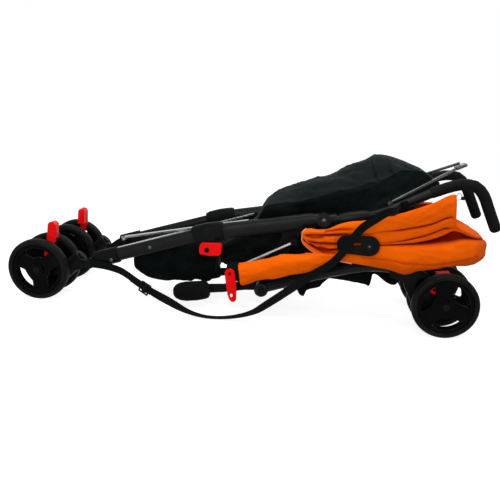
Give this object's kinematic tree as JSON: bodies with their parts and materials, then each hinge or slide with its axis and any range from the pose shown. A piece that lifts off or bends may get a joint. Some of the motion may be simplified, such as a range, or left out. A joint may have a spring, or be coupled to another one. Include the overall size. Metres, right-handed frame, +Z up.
{
  "type": "umbrella stroller",
  "caption": "Folded umbrella stroller with twin swivel front wheels, hooked foam grips, folded canopy, padded armrests, crossing brace bars and a carry strap.",
  "frame": {"origin": "on the floor, under the middle of the folded stroller's box without its carry strap", "axes": "+X from the front casters towards the handle grips, +Y across to the right side, +Z up"},
  "size_m": [1.0717, 0.29, 0.3618],
  "materials": {
    "black_tube": "satin",
    "black_plastic": "satin",
    "tyre_rubber": "matt",
    "red_plastic": "gloss",
    "orange_fabric": "woven",
    "black_fabric": "woven",
    "bare_metal": "satin",
    "grip_foam": "matt"
  },
  "bodies": {
    "frame_left": {"front_leg_left": "black_tube", "lower_joint_left": "black_plastic", "knuckle_left": "black_plastic", "side_tube_left": "black_tube", "handle_tube_left": "black_tube", "grip_left": "grip_foam", "pivot_plate_left": "black_plastic", "armrest_pad_left": "orange_fabric", "armrest_rod_left": "bare_metal", "seat_fabric": "black_fabric", "basket_fabric": "black_fabric", "calf_panel": "black_fabric", "carry_strap": "black_fabric", "strap_buckle": "black_plastic"},
    "frame_right": {"front_leg_right": "black_tube", "lower_joint_right": "black_plastic", "knuckle_right": "black_plastic", "side_tube_right": "black_tube", "handle_tube_right": "black_tube", "grip_right": "grip_foam", "pivot_plate_right": "black_plastic", "armrest_pad_right": "orange_fabric", "armrest_rod_right": "bare_metal"},
    "caster_left": {"caster_fork_left": "black_plastic", "front_axle_left": "bare_metal"},
    "front_outer_wheel_left": {"front_outer_rim_left": "black_plastic", "front_outer_tyre_left": "tyre_rubber"},
    "front_inner_wheel_body_left": {"front_inner_wheel_left": "black_plastic"},
    "swivel_lever_body_left": {"swivel_lever_left": "red_plastic"},
    "fold_lock_body_left": {"fold_lock_left": "red_plastic"},
    "rear_leg_body_left": {"rear_leg_left": "black_tube", "rear_bracket_left": "black_plastic"},
    "rear_outer_wheel_left": {"rear_outer_rim_left": "black_plastic", "rear_outer_tyre_left": "tyre_rubber"},
    "rear_inner_wheel_body_left": {"rear_inner_wheel_left": "black_plastic"},
    "brake_pedal_body_left": {"brake_pedal_left": "red_plastic"},
    "brace_bar_body_left": {"brace_bar_left": "bare_metal"},
    "handle_strut_body_left": {"handle_strut_left": "bare_metal"},
    "leg_rest_body_left": {"leg_rest_left": "black_plastic"},
    "caster_right": {"caster_fork_right": "black_plastic", "front_axle_right": "bare_metal"},
    "front_outer_wheel_right": {"front_outer_rim_right": "black_plastic", "front_outer_tyre_right": "tyre_rubber"},
    "front_inner_wheel_body_right": {"front_inner_wheel_right": "black_plastic"},
    "swivel_lever_body_right": {"swivel_lever_right": "red_plastic"},
    "fold_lock_body_right": {"fold_lock_right": "red_plastic"},
    "rear_leg_body_right": {"rear_leg_right": "black_tube", "rear_bracket_right": "black_plastic"},
    "rear_outer_wheel_right": {"rear_outer_rim_right": "black_plastic", "rear_outer_tyre_right": "tyre_rubber"},
    "rear_inner_wheel_body_right": {"rear_inner_wheel_right": "black_plastic"},
    "brake_pedal_body_right": {"brake_pedal_right": "red_plastic"},
    "brace_bar_body_right": {"brace_bar_right": "bare_metal"},
    "handle_strut_body_right": {"handle_strut_right": "bare_metal"},
    "leg_rest_body_right": {"leg_rest_right": "black_plastic"},
    "canopy_left": {"canopy_bracket_left": "black_plastic", "canopy": "orange_fabric"},
    "canopy_right": {"canopy_bracket_right": "black_plastic"},
    "hook": {"storage_hook": "red_plastic"}
  },
  "joints": [
    {"name": "fold_spread", "type": "slide", "parent": "frame_left", "child": "frame_right", "axis": [0, 1, 0], "range_m": [0, 0.17], "deforming": ["seat_fabric", "basket_fabric", "calf_panel", "canopy"]},
    {"name": "caster_swivel_left", "type": "hinge", "parent": "frame_left", "child": "caster_left", "pos_m": [-0.39585, -0.0785, 0.08], "axis": [0.682, 0, 0.7314], "range_deg": [-15, 15]},
    {"name": "front_outer_wheel_spin_left", "type": "hinge", "parent": "caster_left", "child": "front_outer_wheel_left", "pos_m": [-0.46585, -0.111, 0.07], "axis": [0, 1, 0], "continuous": true},
    {"name": "front_inner_wheel_spin_left", "type": "hinge", "parent": "caster_left", "child": "front_inner_wheel_body_left", "pos_m": [-0.46585, -0.046, 0.07], "axis": [0, 1, 0], "continuous": true},
    {"name": "swivel_lock_left", "type": "hinge", "parent": "caster_left", "child": "swivel_lever_body_left", "pos_m": [-0.45185, -0.0785, 0.098], "axis": [0, -1, 0], "range_deg": [0, 25]},
    {"name": "fold_lock_turn_left", "type": "hinge", "parent": "frame_left", "child": "fold_lock_body_left", "pos_m": [-0.07885, -0.085, 0.1455], "axis": [0, 1, 0], "range_deg": [0, 30]},
    {"name": "rear_leg_swing_left", "type": "hinge", "parent": "frame_left", "child": "rear_leg_body_left", "pos_m": [0.04415, -0.0895, 0.062], "axis": [0, 1, 0], "range_deg": [0, 105], "deforming": ["basket_fabric", "carry_strap", "strap_buckle"]},
    {"name": "rear_outer_wheel_spin_left", "type": "hinge", "parent": "rear_leg_body_left", "child": "rear_outer_wheel_left", "pos_m": [0.43515, -0.122, 0.07], "axis": [0, 1, 0], "continuous": true},
    {"name": "rear_inner_wheel_spin_left", "type": "hinge", "parent": "rear_leg_body_left", "child": "rear_inner_wheel_body_left", "pos_m": [0.43515, -0.057, 0.07], "axis": [0, 1, 0], "continuous": true},
    {"name": "brake_pedal_turn_left", "type": "hinge", "parent": "rear_leg_body_left", "child": "brake_pedal_body_left", "pos_m": [0.41215, -0.0895, 0.098], "axis": [0, -1, 0], "range_deg": [0, 15]},
    {"name": "brace_bar_turn_left", "type": "hinge", "parent": "frame_left", "child": "brace_bar_body_left", "pos_m": [-0.32285, -0.061, 0.1085], "axis": [-0.2672, 0, 0.9636], "range_deg": [0, 34.4], "deforming": ["calf_panel"]},
    {"name": "handle_strut_turn_left", "type": "hinge", "parent": "frame_left", "child": "handle_strut_body_left", "pos_m": [0.30415, -0.0805, 0.269], "axis": [-0.454, 0, 0.891], "range_deg": [0, 35.5], "deforming": ["seat_fabric", "canopy"]},
    {"name": "caster_swivel_right", "type": "hinge", "parent": "frame_right", "child": "caster_right", "pos_m": [-0.39585, 0.0785, 0.08], "axis": [0.682, 0, 0.7314], "range_deg": [-15, 15]},
    {"name": "front_outer_wheel_spin_right", "type": "hinge", "parent": "caster_right", "child": "front_outer_wheel_right", "pos_m": [-0.46585, 0.111, 0.07], "axis": [0, 1, 0], "continuous": true},
    {"name": "front_inner_wheel_spin_right", "type": "hinge", "parent": "caster_right", "child": "front_inner_wheel_body_right", "pos_m": [-0.46585, 0.046, 0.07], "axis": [0, 1, 0], "continuous": true},
    {"name": "swivel_lock_right", "type": "hinge", "parent": "caster_right", "child": "swivel_lever_body_right", "pos_m": [-0.45185, 0.0785, 0.098], "axis": [0, -1, 0], "range_deg": [0, 25]},
    {"name": "fold_lock_turn_right", "type": "hinge", "parent": "frame_right", "child": "fold_lock_body_right", "pos_m": [-0.07885, 0.085, 0.1455], "axis": [0, 1, 0], "range_deg": [0, 30]},
    {"name": "rear_leg_swing_right", "type": "hinge", "parent": "frame_right", "child": "rear_leg_body_right", "pos_m": [0.04415, 0.0895, 0.062], "axis": [0, 1, 0], "range_deg": [0, 105], "deforming": ["basket_fabric", "carry_strap", "strap_buckle"]},
    {"name": "rear_outer_wheel_spin_right", "type": "hinge", "parent": "rear_leg_body_right", "child": "rear_outer_wheel_right", "pos_m": [0.43515, 0.122, 0.07], "axis": [0, 1, 0], "continuous": true},
    {"name": "rear_inner_wheel_spin_right", "type": "hinge", "parent": "rear_leg_body_right", "child": "rear_inner_wheel_body_right", "pos_m": [0.43515, 0.057, 0.07], "axis": [0, 1, 0], "continuous": true},
    {"name": "brake_pedal_turn_right", "type": "hinge", "parent": "rear_leg_body_right", "child": "brake_pedal_body_right", "pos_m": [0.41215, 0.0895, 0.098], "axis": [0, -1, 0], "range_deg": [0, 15]},
    {"name": "brace_bar_turn_right", "type": "hinge", "parent": "frame_right", "child": "brace_bar_body_right", "pos_m": [-0.32285, 0.061, 0.1085], "axis": [-0.2672, 0, 0.9636], "range_deg": [-34.4, 0], "deforming": ["calf_panel"]},
    {"name": "handle_strut_turn_right", "type": "hinge", "parent": "frame_right", "child": "handle_strut_body_right", "pos_m": [0.30415, 0.0805, 0.269], "axis": [-0.454, 0, 0.891], "range_deg": [-35.5, 0], "deforming": ["seat_fabric", "canopy"]},
    {"name": "canopy_turn", "type": "hinge", "parent": "frame_left", "child": "canopy_left", "pos_m": [0.26615, -0.1187, 0.186], "axis": [0, -1, 0], "range_deg": [0, 105], "deforming": ["canopy", "carry_strap"]},
    {"name": "canopy_spread", "type": "slide", "parent": "canopy_left", "child": "canopy_right", "axis": [0, 1, 0], "range_m": [0, 0.17], "deforming": ["canopy"]},
    {"name": "leg_rest_swing", "type": "hinge", "parent": "frame_left", "child": "leg_rest_body_left", "pos_m": [0.04415, -0.085, 0.062], "axis": [0, -1, 0], "range_deg": [0, 55], "deforming": ["calf_panel"]},
    {"name": "leg_rest_spread", "type": "slide", "parent": "leg_rest_body_left", "child": "leg_rest_body_right", "axis": [0, 1, 0], "range_m": [0, 0.17]},
    {"name": "storage_hook_turn", "type": "hinge", "parent": "frame_left", "child": "hook", "pos_m": [-0.02585, -0.1065, 0.0965], "axis": [0, 1, 0], "range_deg": [0, 40], "deforming": ["carry_strap"]}
  ],
  "couplings": [
    {"joint": "brace_bar_turn_left", "follows": "fold_spread", "rad_per_m": 3.5315},
    {"joint": "handle_strut_turn_left", "follows": "fold_spread", "rad_per_m": 3.6445},
    {"joint": "brace_bar_turn_right", "follows": "fold_spread", "rad_per_m": -3.5315},
    {"joint": "handle_strut_turn_right", "follows": "fold_spread", "rad_per_m": -3.6445},
    {"joint": "rear_leg_swing_right", "follows": "rear_leg_swing_left", "ratio": 1},
    {"joint": "canopy_spread", "follows": "fold_spread", "ratio": 1},
    {"joint": "leg_rest_spread", "follows": "fold_spread", "ratio": 1}
  ]
}
